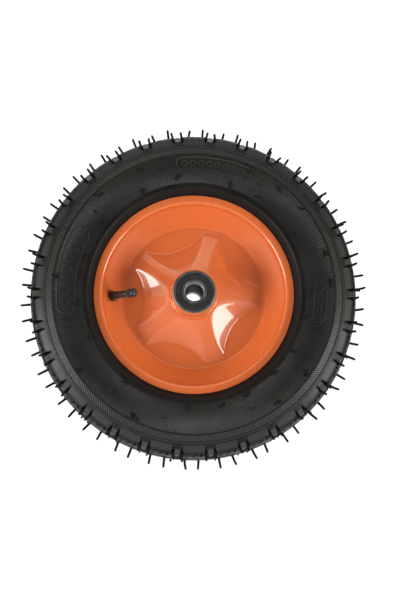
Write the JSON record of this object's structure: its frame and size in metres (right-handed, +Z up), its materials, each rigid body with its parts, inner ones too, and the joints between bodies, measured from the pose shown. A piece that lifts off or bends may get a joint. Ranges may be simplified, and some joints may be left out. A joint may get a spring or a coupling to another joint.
{
  "type": "pneumatic wheelbarrow wheel",
  "caption": "Pneumatic wheelbarrow wheel: treaded tyre with moulding hairs on an orange pressed steel star rim, with sealed ball bearings and a rubber valve.",
  "frame": {"origin": "the wheel's centre, on the axle's axis, midway between the two bearings", "axes": "+Y along the axle away from the valve side, +Z up, +X away from the valve; the valve side faces -Y"},
  "size_m": [0.3836, 0.0958, 0.3838],
  "materials": {
    "tyre": "moulded matt black rubber with a faint sheen",
    "vent_rubber": "thin moulded rubber hairs, satin",
    "tube_rubber": "smooth butyl rubber",
    "valve_rubber": "smooth black rubber",
    "bead_steel": "brass-coated steel wire bundle",
    "orange_paint": "glossy orange powder coat",
    "weld_steel": "painted-over resistance weld bead",
    "spacer_steel": "plain drawn steel tube",
    "ring_steel": "ground bearing steel, oiled",
    "ball_steel": "polished bearing balls",
    "cage_steel": "pressed steel",
    "seal_rubber": "black nitrile rubber",
    "brass": "turned brass",
    "spring_steel": "bright spring wire",
    "cap_plastic": "ribbed black plastic"
  },
  "bodies": {
    "axle_core": {"axle_spacer": "spacer_steel", "front_bearing_inner_ring": "ring_steel", "rear_bearing_inner_ring": "ring_steel"},
    "wheel": {"tyre": "tyre", "crown_vent_hairs": "vent_rubber", "front_shoulder_vent_hairs": "vent_rubber", "rear_shoulder_vent_hairs": "vent_rubber", "front_sidewall_vent_hairs": "vent_rubber", "rear_sidewall_vent_hairs": "vent_rubber", "inner_tube": "tube_rubber", "valve_base": "tube_rubber", "valve_stem": "valve_rubber", "valve_core_seal": "valve_rubber", "front_bead_wire": "bead_steel", "rear_bead_wire": "bead_steel", "front_rim_half": "orange_paint", "rear_rim_half": "orange_paint", "hub_tube": "orange_paint", "front_hub_weld": "orange_paint", "rear_hub_weld": "orange_paint", "rim_seam_weld": "weld_steel", "front_bearing_outer_ring": "ring_steel", "rear_bearing_outer_ring": "ring_steel", "front_bearing_outer_seal": "seal_rubber", "front_bearing_inner_seal": "seal_rubber", "rear_bearing_outer_seal": "seal_rubber", "rear_bearing_inner_seal": "seal_rubber", "valve_body": "brass", "valve_core": "brass", "valve_spring": "spring_steel"},
    "front_ball_set": {"front_bearing_balls": "ball_steel", "front_bearing_cage": "cage_steel"},
    "rear_ball_set": {"rear_bearing_balls": "ball_steel", "rear_bearing_cage": "cage_steel"},
    "valve_pin": {"valve_pin": "brass"},
    "valve_cap": {"valve_cap": "cap_plastic"}
  },
  "joints": [
    {"name": "wheel_spin", "type": "hinge", "parent": "axle_core", "child": "wheel", "pos_m": [0, 0, 0], "axis": [0, 1, 0], "continuous": true},
    {"name": "front_ball_orbit", "type": "hinge", "parent": "axle_core", "child": "front_ball_set", "pos_m": [0, -0.038, 0], "axis": [0, 1, 0], "continuous": true},
    {"name": "rear_ball_orbit", "type": "hinge", "parent": "axle_core", "child": "rear_ball_set", "pos_m": [0, 0.038, 0], "axis": [0, 1, 0], "continuous": true},
    {"name": "valve_pin_press", "type": "slide", "parent": "wheel", "child": "valve_pin", "axis": [-0.6801, 0.7331, 0], "range_m": [0, 0.0012], "stiffness_N_per_m": 1500, "springref_m": -0.001, "deforming": ["valve_spring"]},
    {"name": "valve_cap_off", "type": "slide", "parent": "wheel", "child": "valve_cap", "axis": [0.6801, -0.7331, 0], "range_m": [0, 0.015]}
  ],
  "couplings": [
    {"joint": "front_ball_orbit", "follows": "wheel_spin", "ratio": 0.6185},
    {"joint": "rear_ball_orbit", "follows": "wheel_spin", "ratio": 0.6185}
  ]
}
